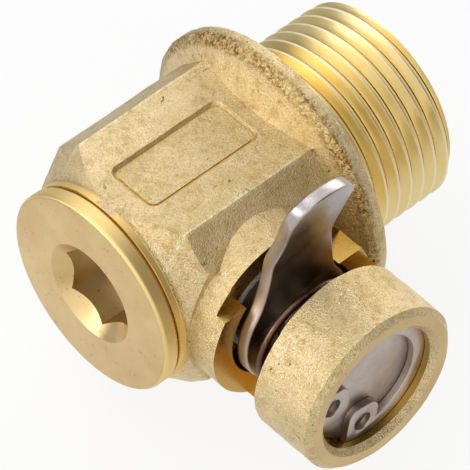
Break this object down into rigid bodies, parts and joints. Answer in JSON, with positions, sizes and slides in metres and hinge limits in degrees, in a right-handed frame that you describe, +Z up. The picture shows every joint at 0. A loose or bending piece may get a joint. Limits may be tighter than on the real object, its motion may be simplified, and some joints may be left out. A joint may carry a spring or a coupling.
{
  "type": "oil drain valve",
  "caption": "Forged brass ball drain valve with a flanged threaded inlet, square barrel, hexagon drain outlet and a sprung bent lever in a slotted side boss.",
  "frame": {"origin": "centre of the flange's seat face on the axis of the inlet thread", "axes": "+Y along the inlet thread into the sump, +X out along the stem and the side boss, +Z up to the panelled flat, the way the lever points when the valve is shut"},
  "size_m": [0.0535, 0.0471, 0.0464],
  "materials": {
    "forged_brass": "sand-blasted forging with machined faces",
    "machined_brass": "fine turned",
    "lever_steel": "stamped and tumbled",
    "ring_steel": "plain",
    "stem_steel": "turned",
    "spring_steel": "dark drawn wire",
    "ball_chrome": "polished",
    "seat_white": "plain",
    "seal_rubber": "matte"
  },
  "bodies": {
    "body": {"valve_body": "forged_brass", "seat_retainer": "machined_brass", "retainer_seal": "seal_rubber", "outlet_seat": "seat_white", "inlet_seat": "seat_white", "thrust_washer": "seat_white", "lever_spring": "spring_steel", "spring_plate": "ring_steel", "retaining_ring": "ring_steel"},
    "turning_set": {"stem": "stem_steel", "valve_ball": "ball_chrome", "stem_seal_inner": "seal_rubber", "stem_seal_outer": "seal_rubber"},
    "lever": {"lever": "lever_steel"}
  },
  "joints": [
    {"name": "lever_turn", "type": "hinge", "parent": "body", "child": "turning_set", "pos_m": [0, -0.015, 0], "axis": [1, 0, 0], "range_deg": [0, 90]},
    {"name": "lever_lift", "type": "slide", "parent": "turning_set", "child": "lever", "axis": [1, 0, 0], "range_m": [0, 0.0035], "stiffness_N_per_m": 1500, "springref_m": -0.004, "deforming": ["lever_spring"]}
  ]
}
